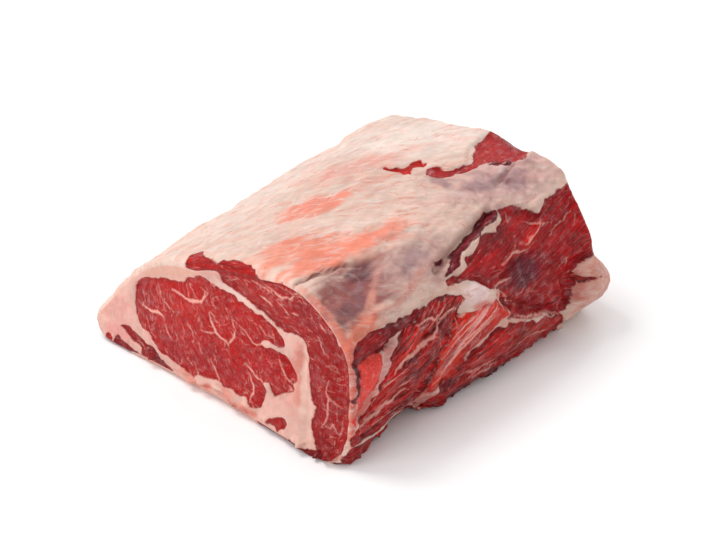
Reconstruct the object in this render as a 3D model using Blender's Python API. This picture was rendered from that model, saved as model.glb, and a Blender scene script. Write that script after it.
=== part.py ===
# A raw, boneless beef rib roast: one piece of meat, cut across at both ends.
# Metres, with +Z up. The roast lies on Z = 0. X runs across the cuts, from the thin lip at -X to
# the thick side at +X where the backbone was, and Y runs from the front cut to the back cut.

import bpy
import numpy as np
from mathutils import Vector
from mathutils.geometry import delaunay_2d_cdt

MM = 0.001

# The whole roast is moved by this, to bring the middle of its width and length to the origin
CENTRE_SHIFT = (-0.0084, 0.0097, 0)

# Each section is a closed outline through the same thirteen places, as (x, z) in millimetres,
# anticlockwise as the front cut shows it: right foot, belly, shoulder and crown, crown, left crown,
# shoulder and flank, lip, left foot, then three places along the flat underside.
FRONT_Y = -0.123
FRONT_SECTION = (
    (101, 0), (110, 40), (104, 80), (73, 102), (30, 100), (-18, 86), (-58, 66),
    (-85, 38), (-102, 12), (-95, 0), (-50, 0), (0, 0), (60, 0),
)
MIDDLE_Y = -0.005
MIDDLE_SECTION = (
    (102, 0), (110, 38), (102, 78), (72, 101), (25, 106), (-20, 97), (-60, 74),
    (-88, 44), (-104, 17), (-97, 0), (-50, 0), (0, 0), (60, 0),
)
BACK_Y = 0.112
BACK_SECTION = (
    (102, 0), (115, 34), (97, 77), (68, 97), (28, 100), (-19, 94), (-60, 80),
    (-87, 48), (-101, 19), (-93, 0), (-50, 0), (0, 0), (60, 0),
)

# Where the two cuts meet the skin, as (round, y), and how far that edge is rounded over, as
# (round, radius). Round is the distance in millimetres from the right foot, up over the crown and
# back along the underside, measured on the middle section.
FRONT_EDGE = ((0, -127), (30, -124), (90, -123), (160, -121), (310, -123), (345, -127), (450, -127), (525, -131))
FRONT_ROUNDING = ((0, 4), (120, 4), (170, 8), (215, 8), (240, 4), (500, 4))
BACK_EDGE = (
    (0, 102), (32, 106), (52, 94), (76, 92), (112, 96), (140, 91), (165, 95), (192, 88),
    (218, 92), (242, 100), (262, 108), (320, 109), (440, 108), (520, 108),
)
BACK_ROUNDING = ((0, 12), (40, 12), (70, 6), (200, 7), (250, 15), (330, 15), (500, 12))

# How far the middle of each cut stands proud of its edge, in millimetres
FRONT_BULGE = 2.5
BACK_BULGE = 6

# Furrows in the skin: a line of (y, round) places, half width and depth. Ridges have negative depth.
SKIN_FURROWS = (
    ("crease above the hollow", ((-120, 131), (-109, 130), (-98, 126), (-88, 126), (-77, 121)), 4.5, 2),
    ("pocket under the fat", ((-37, 93), (-25, 96), (-12, 100), (4, 103), (24, 107)), 5, 5),
    ("edge of the front fat", ((-114, 83), (-98, 82), (-82, 81), (-66, 78), (-50, 81), (-36, 80)), 4.5, 2),
    ("beside the bright strap", ((-90, 73), (-97, 58), (-105, 46), (-117, 34)), 5, 2.5),
    ("under the dark strap", ((-112, 68), (-97, 69), (-84, 71), (-68, 75)), 4.5, 2),
    ("across the fibres", ((-61, 60), (-52, 64), (-47, 71)), 4.5, 2),
    ("end of the fibres", ((-28, 66), (-40, 57), (-49, 46), (-56, 32), (-68, 22)), 5, 3),
    ("between the upper fibres", ((-88, 52), (-74, 57), (-60, 60)), 4.5, 1.5),
    ("between the lower fibres", ((-112, 29), (-94, 32), (-78, 33)), 4.5, 1.5),
    ("foot of the fibres", ((-112, 19), (-96, 21), (-80, 22)), 4.5, 2),
    ("above the lower muscle", ((-46, 22), (-28, 29), (-8, 34), (8, 39), (26, 37), (48, 30)), 4.5, 2.5),
    ("through the lower muscle", ((-46, 20), (-30, 18), (-10, 15), (4, 14)), 4.5, 2),
    ("beside the middle fat", ((-27, 79), (-10, 74), (2, 66), (4, 55), (16, 46), (26, 40)), 5, 2.5),
    ("ridge on the back meat", ((10, 72), (25, 79), (36, 77), (50, 82), (60, 89)), 4.5, -2),
    ("beside the ridge", ((12, 67), (26, 73), (40, 72), (54, 77), (70, 78)), 4.5, 1.5),
    ("around the fat knob", ((88, 52), (73, 51), (65, 43), (67, 31), (60, 20)), 5, 3.5),
)

# Patches where the fat is cut away: an outline of (y, round) places, and how deep the meat lies.
# The fat slopes down to them over PATCH_EDGE.
PATCH_EDGE = 8
SKIN_PATCHES = (
    ("top of the crown", (
        (5, 179), (17, 170), (29, 168), (27, 162), (10, 160), (19, 156), (27, 158), (36, 147), (46, 147),
        (62, 161), (85, 169), (94, 162), (90, 131), (72, 129), (58, 136), (40, 138), (20, 145), (6, 166),
    ), 3),
    ("back meat", (
        (-35, 85), (-15, 87), (-14, 91), (2, 93), (9, 99), (26, 98), (30, 107), (45, 100), (57, 91),
        (86, 93), (90, 72), (86, 50), (72, 51), (64, 42), (66, 24), (50, 26), (28, 38), (14, 44),
        (3, 56), (4, 66), (-9, 72), (-18, 79),
    ), 3),
)

# Lumps and hollows in the skin: (y, round), their two radii, and height. Hollows are negative.
SKIN_LUMPS = (
    ("hollow in the silverskin", (-92, 110), (24, 14), -5),
    ("deep end of the hollow", (-75, 117), (9, 7), -3),
    ("undercut at the front foot", (-73, 3), (21, 13), -11),
    ("sinew that reaches the ground", (-44, 10), (8, 9), 1.5),
    ("fat knob at the back foot", (84, 32), (15, 17), 7),
    ("hollow under the knob", (92, 6), (22, 13), -5),
    ("swell of the fibred muscle", (-72, 55), (26, 17), 2.5),
    ("bright strap", (-106, 58), (8, 12), 2),
    ("middle fat", (-20, 58), (18, 13), 2.5),
    ("dark strap", (-94, 75), (18, 5), 1.5),
    ("lower muscle", (14, 22), (42, 12), 2),
    ("dip before the knob", (50, 58), (28, 16), -3),
    ("dip behind the left crown", (-20, 250), (24, 18), -2),
)

# Furrows in the front cut: a line of (x, z) places, half width and depth
FRONT_CUT_FURROWS = (
    ("over the eye of meat", (
        (-64, 52), (-50, 60), (-30, 66), (-14, 76), (0, 78), (20, 75), (44, 71), (55, 67), (57, 58),
    ), 5, 1.5),
    ("right end of the eye", ((60, 53), (66, 46), (65, 36), (56, 28), (46, 24), (38, 8)), 5, 2),
    ("under the eye", ((30, 5), (10, 7), (-20, 3), (-44, 8), (-60, 18), (-69, 34), (-66, 50)), 5, 1.5),
    ("inner edge of the cap muscle", (
        (-18, 81), (0, 86), (22, 79), (44, 72), (72, 71), (75, 50), (77, 28), (78, 6),
    ), 5, 1.5),
    ("seam by the right rim", ((102, 76), (105, 50), (103, 22), (99, 8)), 5, 1),
)

# Lumps in the front cut: (x, z), their two radii, and height
FRONT_CUT_LUMPS = (
    ("eye of meat", (-8, 40), (44, 24), 2.5),
    ("end of the eye", (50, 43), (12, 10), 1.5),
    ("cap muscle at the crown", (50, 90), (30, 9), 1.5),
    ("cap muscle at the side", (91, 42), (9, 30), 2),
)

# How finely the solid is divided: millimetres between points round the roast, as (round, gap),
# along it, and across the two cuts
GAPS = ((0, 3.8), (125, 3.8), (150, 4.6), (180, 5), (225, 7), (330, 8), (350, 20), (528, 20), (545, 5))
GAP_ALONG = 4.4
ROUNDING_RINGS = 3
FRONT_CUT_GAP = 5
BACK_CUT_GAP = 8

FAT_COLOUR = (0.76, 0.52, 0.44, 1)


def clear_scene():
    for old in list(bpy.data.objects):
        bpy.data.objects.remove(old, do_unlink=True)


def outline_at(section, places):
    """Points of a section's smooth closed curve: place 2.25 is a quarter of the way from its third point to its fourth."""
    section = np.array(section, float) * MM
    stretch = np.floor(places).astype(int)
    before, start, end, after = (section[(stretch + step) % len(section)] for step in (-1, 0, 1, 2))
    knots = [np.zeros(len(places))]
    for a, b in ((before, start), (start, end), (end, after)):
        knots.append(knots[-1] + np.linalg.norm(b - a, axis=1) ** 0.5)
    at = knots[1] + (places - stretch) * (knots[2] - knots[1])

    def between(a, b, low, high):
        share = ((at - low) / (high - low))[:, None]
        return a + share * (b - a)

    first = between(before, start, knots[0], knots[1])
    second = between(start, end, knots[1], knots[2])
    third = between(end, after, knots[2], knots[3])
    left = between(first, second, knots[0], knots[2])
    right = between(second, third, knots[1], knots[3])
    return between(left, right, knots[1], knots[2])


def smooth_step(share):
    share = np.clip(share, 0, 1)
    return share * share * (3 - 2 * share)


def places_round():
    """(places, round) of the points round every section; round is the distance in mm from the right foot on the middle section."""
    fine = np.linspace(0, len(MIDDLE_SECTION), 2601)
    curve = outline_at(MIDDLE_SECTION, fine) / MM
    length = np.concatenate([[0], np.cumsum(np.linalg.norm(np.diff(curve, axis=0), axis=1))])
    gap, gaps = zip(*GAPS)
    steps = np.cumsum(np.diff(length) / np.interp(length[1:], gap, gaps))
    count = int(round(steps[-1]))
    at = np.interp(np.arange(count) * steps[-1] / count, np.concatenate([[0], steps]), length)
    return np.interp(at, length, fine), at, length[-1]


def round_table(table, at, whole):
    """Values of a table of (round, value), eased between its places and closed round the roast."""
    where = np.array([w for w, _ in table] + [table[0][0] + whole], float)
    value = np.array([v for _, v in table] + [table[0][1]], float)
    at = np.mod(at - where[0], whole) + where[0]
    k = np.clip(np.searchsorted(where, at, side="right") - 1, 0, len(where) - 2)
    share = smooth_step((at - where[k]) / (where[k + 1] - where[k]))
    return value[k] + share * (value[k + 1] - value[k])


def section_at(y, places, inset):
    """Points of the ring whose points lie at y, drawn in from the outline by inset; all in metres."""
    front, middle, back = (outline_at(s, places) for s in (FRONT_SECTION, MIDDLE_SECTION, BACK_SECTION))
    to_middle = smooth_step((y - FRONT_Y) / (MIDDLE_Y - FRONT_Y))[:, None]
    to_back = smooth_step((y - MIDDLE_Y) / (BACK_Y - MIDDLE_Y))[:, None]
    outline = front + to_middle * (middle - front) + to_back * (back - middle)
    along = np.roll(outline, -1, axis=0) - np.roll(outline, 1, axis=0)
    along /= np.linalg.norm(along, axis=1)[:, None]
    outline += np.column_stack([-along[:, 1], along[:, 0]]) * inset[:, None]
    return np.column_stack([outline[:, 0], y, np.maximum(outline[:, 1], 0)])


def rings_of_skin(places, at, whole):
    """The skin's rings from the front cut's edge to the back cut's, and how much of the relief each takes."""
    front, back = (round_table(t, at, whole) * MM for t in (FRONT_EDGE, BACK_EDGE))
    front_radius, back_radius = (round_table(t, at, whole) * MM for t in (FRONT_ROUNDING, BACK_ROUNDING))
    turns = np.linspace(0, np.pi / 2, ROUNDING_RINGS + 1)
    rings = [section_at(front + front_radius * (1 - np.cos(t)), places, front_radius * (1 - np.sin(t))) for t in turns]
    start, end = front + front_radius, back - back_radius
    between = int(np.ptp([FRONT_Y, BACK_Y]) / MM / GAP_ALONG)
    for share in np.linspace(0, 1, between)[1:-1]:
        rings.append(section_at(start + share * (end - start), places, np.zeros(len(at))))
    rings += [section_at(back - back_radius * (1 - np.cos(t)), places, back_radius * (1 - np.sin(t))) for t in turns[::-1]]
    weights = np.concatenate([np.sin(turns), np.ones(between - 2), np.sin(turns[::-1])])
    return np.array(rings), weights


def distance_to_line(p, q, line):
    """How far each point (p, q) is from a line of places."""
    nearest = np.full(p.shape, np.inf)
    for (p0, q0), (p1, q1) in zip(line, line[1:]):
        dp, dq = p1 - p0, q1 - q0
        share = np.clip(((p - p0) * dp + (q - q0) * dq) / (dp * dp + dq * dq), 0, 1)
        nearest = np.minimum(nearest, np.hypot(p - p0 - share * dp, q - q0 - share * dq))
    return nearest


def depth_inside(p, q, outline):
    """How far inside a closed outline each point is, negative outside."""
    closed = tuple(outline) + (outline[0],)
    inside = np.zeros(p.shape, bool)
    for (p0, q0), (p1, q1) in zip(closed, closed[1:]):
        if q0 != q1:
            inside ^= ((q0 > q) != (q1 > q)) & (p < p0 + (q - q0) * (p1 - p0) / (q1 - q0))
    return np.where(inside, 1, -1) * distance_to_line(p, q, closed)


def furrows_and_lumps(p, q, furrows, lumps):
    """Height in millimetres of the furrows and lumps at each point (p, q)."""
    height = np.zeros(p.shape)
    for _, line, half_width, depth in furrows:
        height -= depth * np.exp(-((distance_to_line(p, q, line) / half_width) ** 2))
    for _, (p0, q0), (rp, rq), rise in lumps:
        height += rise * np.exp(-(((p - p0) / rp) ** 2) - ((q - q0) / rq) ** 2)
    return height


def skin_relief(y, at):
    """Height of the skin's relief in millimetres at y and round, both in millimetres."""
    height = furrows_and_lumps(y, at, SKIN_FURROWS, SKIN_LUMPS)
    for _, outline, depth in SKIN_PATCHES:
        height -= depth * smooth_step((depth_inside(y, at, outline) + PATCH_EDGE / 2) / PATCH_EDGE)
    return height


def displaced(rings, at, weights, whole):
    """The skin's rings moved along their normals by the relief. The underside stays flat."""
    round_way = np.roll(rings, -1, axis=1) - np.roll(rings, 1, axis=1)
    normals = np.cross(np.gradient(rings, axis=0), round_way)
    normals /= np.linalg.norm(normals, axis=2)[:, :, None]
    from_foot = np.broadcast_to(np.where(at > whole - 60, at - whole, at), rings.shape[:2])
    height = skin_relief(rings[:, :, 1] / MM, from_foot) * weights[:, None]
    moved = rings + normals * height[:, :, None] * MM
    moved[:, :, 2] = np.maximum(moved[:, :, 2], 0)
    return moved


def cut_surface(edge, gap, way, bulge, furrows, lumps):
    """Points inside a cut's edge and the triangles that join them to it; way is -1 at the front, 1 at the back."""
    rows = np.arange(edge[:, 2].min(), edge[:, 2].max(), gap * MM * 3**0.5 / 2)
    grid = []
    for k, z in enumerate(rows):
        x = np.arange(edge[:, 0].min() + (k % 2) * gap * MM / 2, edge[:, 0].max(), gap * MM)
        grid.append(np.column_stack([x, np.full(len(x), z)]))
    grid = np.concatenate(grid)
    outline = edge[:, [0, 2]]
    depth = depth_inside(grid[:, 0], grid[:, 1], [tuple(p) for p in outline])
    grid, depth = grid[depth > 0.6 * gap * MM], depth[depth > 0.6 * gap * MM]
    flat = [Vector(p) for p in np.concatenate([outline, grid])]
    _, _, triangles, _, _, _ = delaunay_2d_cdt(flat, [], [list(range(len(outline)))], 1, 1e-7)
    away = np.hypot(grid[:, :1] - outline[:, 0], grid[:, 1:] - outline[:, 1]) ** -3
    y = (away * edge[:, 1]).sum(axis=1) / away.sum(axis=1)
    height = bulge * smooth_step(depth / (0.35 * np.ptp(outline[:, 1])))
    height += furrows_and_lumps(grid[:, 0] / MM, grid[:, 1] / MM, furrows, lumps) * smooth_step(depth / (6 * MM))
    return np.column_stack([grid[:, 0], y + way * height * MM, grid[:, 1]]), triangles


def roast_mesh():
    """The whole roast as one closed body: the skin, the front cut and the back cut."""
    places, at, whole = places_round()
    rings, weights = rings_of_skin(places, at, whole)
    skin = displaced(rings, at, weights, whole)
    n = len(at)
    points = [skin.reshape(-1, 3)]
    faces = []
    for near in range(0, (len(skin) - 1) * n, n):
        for i in range(n):
            j = (i + 1) % n
            faces.append((near + i, near + n + i, near + n + j))
            faces.append((near + i, near + n + j, near + j))
    cuts = (
        (skin[0], 0, -1, FRONT_CUT_GAP, FRONT_BULGE, FRONT_CUT_FURROWS, FRONT_CUT_LUMPS),
        (skin[-1], (len(skin) - 1) * n, 1, BACK_CUT_GAP, BACK_BULGE, (), ()),
    )
    for edge, first, way, gap, bulge, furrows, lumps in cuts:
        inner, triangles = cut_surface(edge, gap, way, bulge, furrows, lumps)
        shift = sum(len(p) for p in points) - n
        numbers = [[first + k if k < n else shift + k for k in t] for t in triangles]
        faces += [t[::-way] for t in numbers]
        points.append(inner)
    points = np.concatenate(points) + CENTRE_SHIFT
    points[:, 2] = np.maximum(points[:, 2], 0)
    return points, faces


def add_material(thing):
    material = bpy.data.materials.new("beef")
    material.use_nodes = True
    shader = material.node_tree.nodes["Principled BSDF"]
    shader.inputs["Base Color"].default_value = FAT_COLOUR
    shader.inputs["Roughness"].default_value = 0.45
    shader.inputs["Metallic"].default_value = 0
    thing.data.materials.append(material)


def main():
    clear_scene()
    points, faces = roast_mesh()
    mesh = bpy.data.meshes.new("rib_roast")
    mesh.from_pydata([tuple(p) for p in points], [], faces)
    mesh.validate()
    roast = bpy.data.objects.new("rib_roast", mesh)
    bpy.context.scene.collection.objects.link(roast)
    add_material(roast)
    print("rib_roast", len(points), "points,", len(faces), "triangles")
    print("from", points.min(axis=0).round(4), "to", points.max(axis=0).round(4))


main()
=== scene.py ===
# Raw, boneless beef rib roast. Metres with +Z up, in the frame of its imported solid.
# Shapes are worked out in millimetres: x across the cuts, y from the front cut to the back cut, and
# "round", the distance from the right foot up over the crown and back along the underside.

import math

import bpy
import numpy as np
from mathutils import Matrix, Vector
from mathutils.geometry import delaunay_2d_cdt


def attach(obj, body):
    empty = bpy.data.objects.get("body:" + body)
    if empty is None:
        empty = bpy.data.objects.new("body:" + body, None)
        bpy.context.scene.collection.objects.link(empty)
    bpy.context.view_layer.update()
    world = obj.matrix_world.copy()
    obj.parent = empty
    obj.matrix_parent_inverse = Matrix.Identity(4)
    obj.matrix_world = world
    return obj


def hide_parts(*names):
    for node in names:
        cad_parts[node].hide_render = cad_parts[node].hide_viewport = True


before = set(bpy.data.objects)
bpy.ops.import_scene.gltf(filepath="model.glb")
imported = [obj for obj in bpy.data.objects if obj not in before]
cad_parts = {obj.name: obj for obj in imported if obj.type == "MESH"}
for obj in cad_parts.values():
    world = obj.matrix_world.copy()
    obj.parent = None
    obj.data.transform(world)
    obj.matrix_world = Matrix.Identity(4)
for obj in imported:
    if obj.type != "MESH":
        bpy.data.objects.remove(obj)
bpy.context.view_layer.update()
mm = 0.001
print("frame loaded")

# The block of meat

roastForm = {
    "centreShift": (-8.4, 9.7, 0),
    "frontY": -123,
    "middleY": -5,
    "backY": 112,
    # thirteen places round each section: right foot, belly, shoulder, crown (3), flank, lip (2),
    # left foot, underside (3)
    "frontSection": (
        (101, 0), (110, 40), (104, 80), (73, 102), (30, 100), (-18, 86), (-58, 66), (-85, 38), (-102, 12),
        (-95, 0), (-50, 0), (0, 0), (60, 0),
    ),
    "middleSection": (
        (102, 0), (110, 38), (102, 78), (72, 101), (25, 106), (-20, 97), (-60, 74), (-88, 44), (-104, 17),
        (-97, 0), (-50, 0), (0, 0), (60, 0),
    ),
    "backSection": (
        (102, 0), (115, 34), (97, 77), (68, 97), (28, 100), (-19, 94), (-60, 80), (-87, 48), (-101, 19),
        (-93, 0), (-50, 0), (0, 0), (60, 0),
    ),
    # where the cuts meet the skin, (round, y), and how far that edge is rounded over, (round, radius)
    "frontEdge": (
        (0, -127), (30, -124), (90, -123), (160, -121), (310, -123), (345, -127), (450, -127),
        (525, -131),
    ),
    "frontRounding": ((0, 4), (120, 4), (170, 8), (215, 8), (240, 4), (500, 4)),
    "backEdge": (
        (0, 102), (32, 106), (52, 94), (76, 92), (112, 96), (140, 91), (165, 95), (192, 88), (218, 92),
        (242, 100), (262, 108), (320, 109), (440, 108), (520, 108),
    ),
    "backRounding": (
        (0, 12), (40, 12), (70, 6), (200, 7), (250, 15), (290, 12), (325, 7), (370, 10), (500, 12),
    ),
    "frontBulge": 2.5,
    "backBulge": 6,
    # how fine the meshes are: (round, gap) round the skin, gap along it, rings over each rounded edge,
    # gap across the cuts
    "gaps": (
        (0, 0.95), (120, 0.95), (150, 1.15), (265, 1.3), (300, 2), (345, 3), (365, 7), (520, 7), (540, 2),
    ),
    "gapAlong": 1.15,
    "roundingRings": 6,
    "frontCutGap": 0.89,
    "backCutGap": 1.7,
    "measuringSteps": 2600,    # for the length of the way round
    "undersideRight": 60,    # the last part of the way round, counted below 0 from the right foot
}


def eased(share):
    share = np.clip(share, 0, 1)
    return share * share * (3 - 2 * share)


# a closed smooth curve; place 2.25 is a quarter of the way from the third point to the fourth
def curveThrough(points, places):
    points = np.array(points, float)
    stretch = np.floor(places).astype(int)
    before, start, end, after = (points[(stretch + step) % len(points)] for step in (-1, 0, 1, 2))
    knots = [np.zeros(len(places))]
    for a, b in ((before, start), (start, end), (end, after)):
        knots.append(knots[-1] + np.linalg.norm(b - a, axis=1) ** 0.5)
    at = knots[1] + (places - stretch) * (knots[2] - knots[1])

    def between(a, b, low, high):
        share = ((at - low) / (high - low))[:, None]
        return a + share * (b - a)

    first = between(before, start, knots[0], knots[1])
    second = between(start, end, knots[1], knots[2])
    third = between(end, after, knots[2], knots[3])
    left = between(first, second, knots[0], knots[2])
    right = between(second, third, knots[1], knots[3])
    return between(left, right, knots[1], knots[2])


def placesRound(form):    # (place, round) of the points round every section, and the whole way round
    fine = np.linspace(0, len(form["middleSection"]), form["measuringSteps"] + 1)
    curve = curveThrough(form["middleSection"], fine)
    length = np.concatenate([[0], np.cumsum(np.linalg.norm(np.diff(curve, axis=0), axis=1))])
    gapAt, gap = zip(*form["gaps"])
    steps = np.concatenate([[0], np.cumsum(np.diff(length) / np.interp(length[1:], gapAt, gap))])
    count = int(round(steps[-1]))
    at = np.interp(np.arange(count) * steps[-1] / count, steps, length)
    return np.interp(at, length, fine), at, length[-1]


def roundTable(table, at, whole):    # eased between its places and closed round the roast
    where = np.array([w for w, v in table] + [table[0][0] + whole], float)
    value = np.array([v for w, v in table] + [table[0][1]], float)
    at = np.mod(at - where[0], whole) + where[0]
    k = np.clip(np.searchsorted(where, at, side="right") - 1, 0, len(where) - 2)
    return value[k] + eased((at - where[k]) / (where[k + 1] - where[k])) * (value[k + 1] - value[k])


def sectionRing(form, y, places, inset):
    names = ("frontSection", "middleSection", "backSection")
    front, middle, back = (curveThrough(form[name], places) for name in names)
    toMiddle = eased((y - form["frontY"]) / (form["middleY"] - form["frontY"]))[:, None]
    toBack = eased((y - form["middleY"]) / (form["backY"] - form["middleY"]))[:, None]
    outline = front + toMiddle * (middle - front) + toBack * (back - middle)
    along = np.roll(outline, -1, axis=0) - np.roll(outline, 1, axis=0)
    along /= np.linalg.norm(along, axis=1)[:, None]
    outline += np.column_stack([-along[:, 1], along[:, 0]]) * inset[:, None]
    return np.column_stack([outline[:, 0], y, np.maximum(outline[:, 1], 0)])


# plain rings from edge to edge, and how much of the relief each takes
def skinRings(form, places, at, whole):
    names = ("frontEdge", "backEdge", "frontRounding", "backRounding")
    front, back, frontRadius, backRadius = (roundTable(form[name], at, whole) for name in names)
    turns = np.linspace(0, math.pi / 2, form["roundingRings"] + 1)
    start, end = front + frontRadius, back - backRadius
    between = int((form["backY"] - form["frontY"]) / form["gapAlong"])
    rings = []
    for t in turns:
        y = front + frontRadius * (1 - math.cos(t))
        rings.append(sectionRing(form, y, places, frontRadius * (1 - math.sin(t))))
    for share in np.linspace(0, 1, between)[1:-1]:
        rings.append(sectionRing(form, start + share * (end - start), places, np.zeros(len(at))))
    for t in turns[::-1]:
        y = back - backRadius * (1 - math.cos(t))
        rings.append(sectionRing(form, y, places, backRadius * (1 - math.sin(t))))
    reliefShare = np.concatenate([np.sin(turns), np.ones(between - 2), np.sin(turns[::-1])])
    return np.array(rings), reliefShare


# Measuring on the skin and the cuts

tiny = 1e-12    # keeps a line of no length from dividing by nothing
farOutside = -30.0    # mm, the depth where no muscle or strand has been marked yet


def lineDistance(p, q, line):    # from each point (p, q) to a line of places
    nearest = np.full(p.shape, np.inf)
    for (p0, q0), (p1, q1) in zip(line, line[1:]):
        dp, dq = p1 - p0, q1 - q0
        share = np.clip(((p - p0) * dp + (q - q0) * dq) / (dp * dp + dq * dq + tiny), 0, 1)
        nearest = np.minimum(nearest, (p - p0 - share * dp) ** 2 + (q - q0 - share * dq) ** 2)
    return np.sqrt(nearest)


def depthInside(p, q, outline):    # positive inside a closed outline, negative outside
    closed = list(outline) + [outline[0]]
    inside = np.zeros(p.shape, bool)
    for (p0, q0), (p1, q1) in zip(closed, closed[1:]):
        if q0 != q1:
            inside ^= ((q0 > q) != (q1 > q)) & (p < p0 + (q - q0) * (p1 - p0) / (q1 - q0))
    return np.where(inside, 1, -1) * lineDistance(p, q, closed)


def roundedOutline(outline, steps=3):
    return [tuple(p) for p in curveThrough(outline, np.arange(0, len(outline), 1 / steps))]


noiseGrid = {
    "cells": 256,
    "shift": (57.3, 91.7),    # keeps the pattern's first cells off the roast
}


# seeded smooth noise from -1 to 1; size is one number, or one for p and one for q
def softNoise(p, q, size, seed):
    sizeP, sizeQ = size if isinstance(size, tuple) else (size, size)
    cells = noiseGrid["cells"]
    grid = np.random.default_rng(seed).uniform(-1, 1, (cells, cells))
    u, v = p / sizeP + noiseGrid["shift"][0], q / sizeQ + noiseGrid["shift"][1]
    i, j = np.floor(u).astype(int), np.floor(v).astype(int)
    a, b = eased(u - i), eased(v - j)
    i, j, nextI, nextJ = i % cells, j % cells, (i + 1) % cells, (j + 1) % cells
    low = grid[i, j] * (1 - a) + grid[nextI, j] * a
    high = grid[i, nextJ] * (1 - a) + grid[nextI, nextJ] * a
    return low * (1 - b) + high * b


def layeredNoise(p, q, size, seed, layers=3):
    sizeP, sizeQ = size if isinstance(size, tuple) else (size, size)
    total = np.zeros(p.shape)
    for k in range(layers):
        total += softNoise(p, q, (sizeP / 2**k, sizeQ / 2**k), seed + k) / 2**k
    return total


# The skin: fat cap over the crown and left side, silverskin, and the bare muscles of the right side

skinRelief = {
    # furrows: a line of (y, round), half width, depth; a ridge has a negative depth
    "furrows": (
        (((-120, 131), (-109, 130), (-98, 126), (-88, 126), (-77, 121)), 1.2, 2.2),
        (((-37, 93), (-25, 96), (-12, 100), (4, 103), (24, 107)), 3, 5.5),
        (((-114, 83), (-98, 82), (-82, 81), (-66, 78), (-50, 81), (-36, 80)), 2.5, 2.2),
        (((-90, 73), (-97, 58), (-105, 46), (-117, 34)), 3.2, 2.8),
        (((-112, 68), (-97, 69), (-84, 71), (-68, 75)), 2.4, 2.4),
        (((-61, 60), (-52, 64), (-47, 71)), 3, 2),
        (((-28, 66), (-40, 57), (-49, 46), (-56, 32), (-68, 22)), 3.5, 3.2),
        (((-88, 52), (-74, 57), (-60, 60)), 2.5, 1.8),
        (((-112, 29), (-94, 32), (-78, 33)), 2.5, 1.8),
        (((-112, 19), (-96, 21), (-80, 22)), 3, 2.2),
        (((-46, 22), (-28, 29), (-8, 34), (8, 39), (26, 37), (48, 30)), 3, 3),
        (((-46, 20), (-30, 18), (-10, 15), (4, 14)), 2.5, 2.4),
        (((-27, 79), (-10, 74), (2, 66), (4, 55), (16, 46), (26, 40)), 3.5, 2.8),
        (((10, 72), (25, 79), (36, 77), (50, 82), (60, 89)), 2.5, -2.2),
        (((12, 67), (26, 73), (40, 72), (54, 77), (70, 78)), 2.5, 2),
        # folds of the silverskin towards the back
        (((40, 134), (48, 126), (56, 112)), 2.2, 1),
        (((52, 135), (62, 124), (70, 110)), 2.2, -1),
        (((62, 135), (74, 122), (82, 106)), 2, 1.2),
        (((76, 128), (86, 116), (94, 102)), 2.2, -1),
        (((44, 120), (57, 123), (70, 128)), 1.6, 1.5),
        (((42, 124), (56, 128), (70, 133)), 2.2, -1.3),
        (((88, 52), (73, 51), (65, 43), (67, 31), (60, 20)), 3.5, 4),
        (((-104, 292), (-62, 284), (-18, 289), (30, 281), (84, 290)), 5, 1.3),
        (((-70, 248), (-50, 262), (-34, 279)), 4, 1),
        (((34, 246), (48, 262), (58, 278)), 4, 1),
    ),
    # patches where the fat is cut away: an outline of (y, round), and how deep the meat lies
    "patches": (
        ((
            (5, 179), (17, 170), (29, 168), (27, 162), (10, 160), (19, 156), (27, 158), (36, 147),
            (46, 147), (62, 161), (85, 169), (94, 162), (90, 131), (72, 129), (58, 136), (40, 138),
            (20, 145), (6, 166),
        ), 1.8),
        ((
            (-35, 85), (-15, 87), (-14, 91), (2, 93), (9, 99), (26, 98), (30, 107), (45, 100), (57, 91),
            (86, 93), (90, 72), (86, 50), (72, 51), (64, 42), (66, 24), (50, 26), (28, 38), (14, 44),
            (3, 56), (4, 66), (-9, 72), (-18, 79),
        ), 3),
    ),
    "patchEdge": 4,
    # ragged bits along the foot of the right side: how far out, their size, and the round they fade from
    "footBits": {"rise": 3, "size": (6, 4), "middle": 3, "reach": 1.2, "fade": 8},
    # lumps: middle (y, round), two radii, height; a hollow has a negative height
    "lumps": (
        ((-92, 110), (24, 14), -5),
        ((-75, 117), (9, 7), -3),
        ((-73, 3), (21, 13), -11),
        ((-44, 10), (8, 9), 1.5),
        ((84, 32), (15, 17), 7),
        ((92, 6), (22, 13), -5),
        ((-72, 55), (26, 17), 2.5),
        ((-106, 58), (8, 12), 2),
        ((-20, 58), (18, 13), 2.5),
        ((-94, 75), (18, 5), 1.5),
        ((14, 22), (42, 12), 2),
        ((50, 58), (28, 16), -3),
        ((-20, 250), (24, 18), -2),
        ((104, 246), (20, 30), -4.5),
        ((-78, 268), (24, 12), 1.4),
        ((12, 268), (22, 12), 1.6),
        ((78, 272), (18, 12), 1.4),
    ),
}


def reliefHeight(p, q, furrows, lumps):
    height = np.zeros(p.shape)
    for line, halfWidth, depth in furrows:
        height -= depth * np.exp(-((lineDistance(p, q, line) / halfWidth) ** 2))
    for (p0, q0), (radiusP, radiusQ), rise in lumps:
        height += rise * np.exp(-(((p - p0) / radiusP) ** 2) - ((q - q0) / radiusQ) ** 2)
    return height


def skinHeight(relief, y, at):
    height = reliefHeight(y, at, relief["furrows"], relief["lumps"])
    for outline, depth in relief["patches"]:
        height -= depth * eased(depthInside(y, at, outline) / relief["patchEdge"] + 0.5)
    return height


def surfaceNormals(rings):
    roundWay = np.roll(rings, -1, axis=1) - np.roll(rings, 1, axis=1)
    normals = np.cross(np.gradient(rings, axis=0), roundWay)
    return normals / np.linalg.norm(normals, axis=2)[:, :, None]


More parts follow.
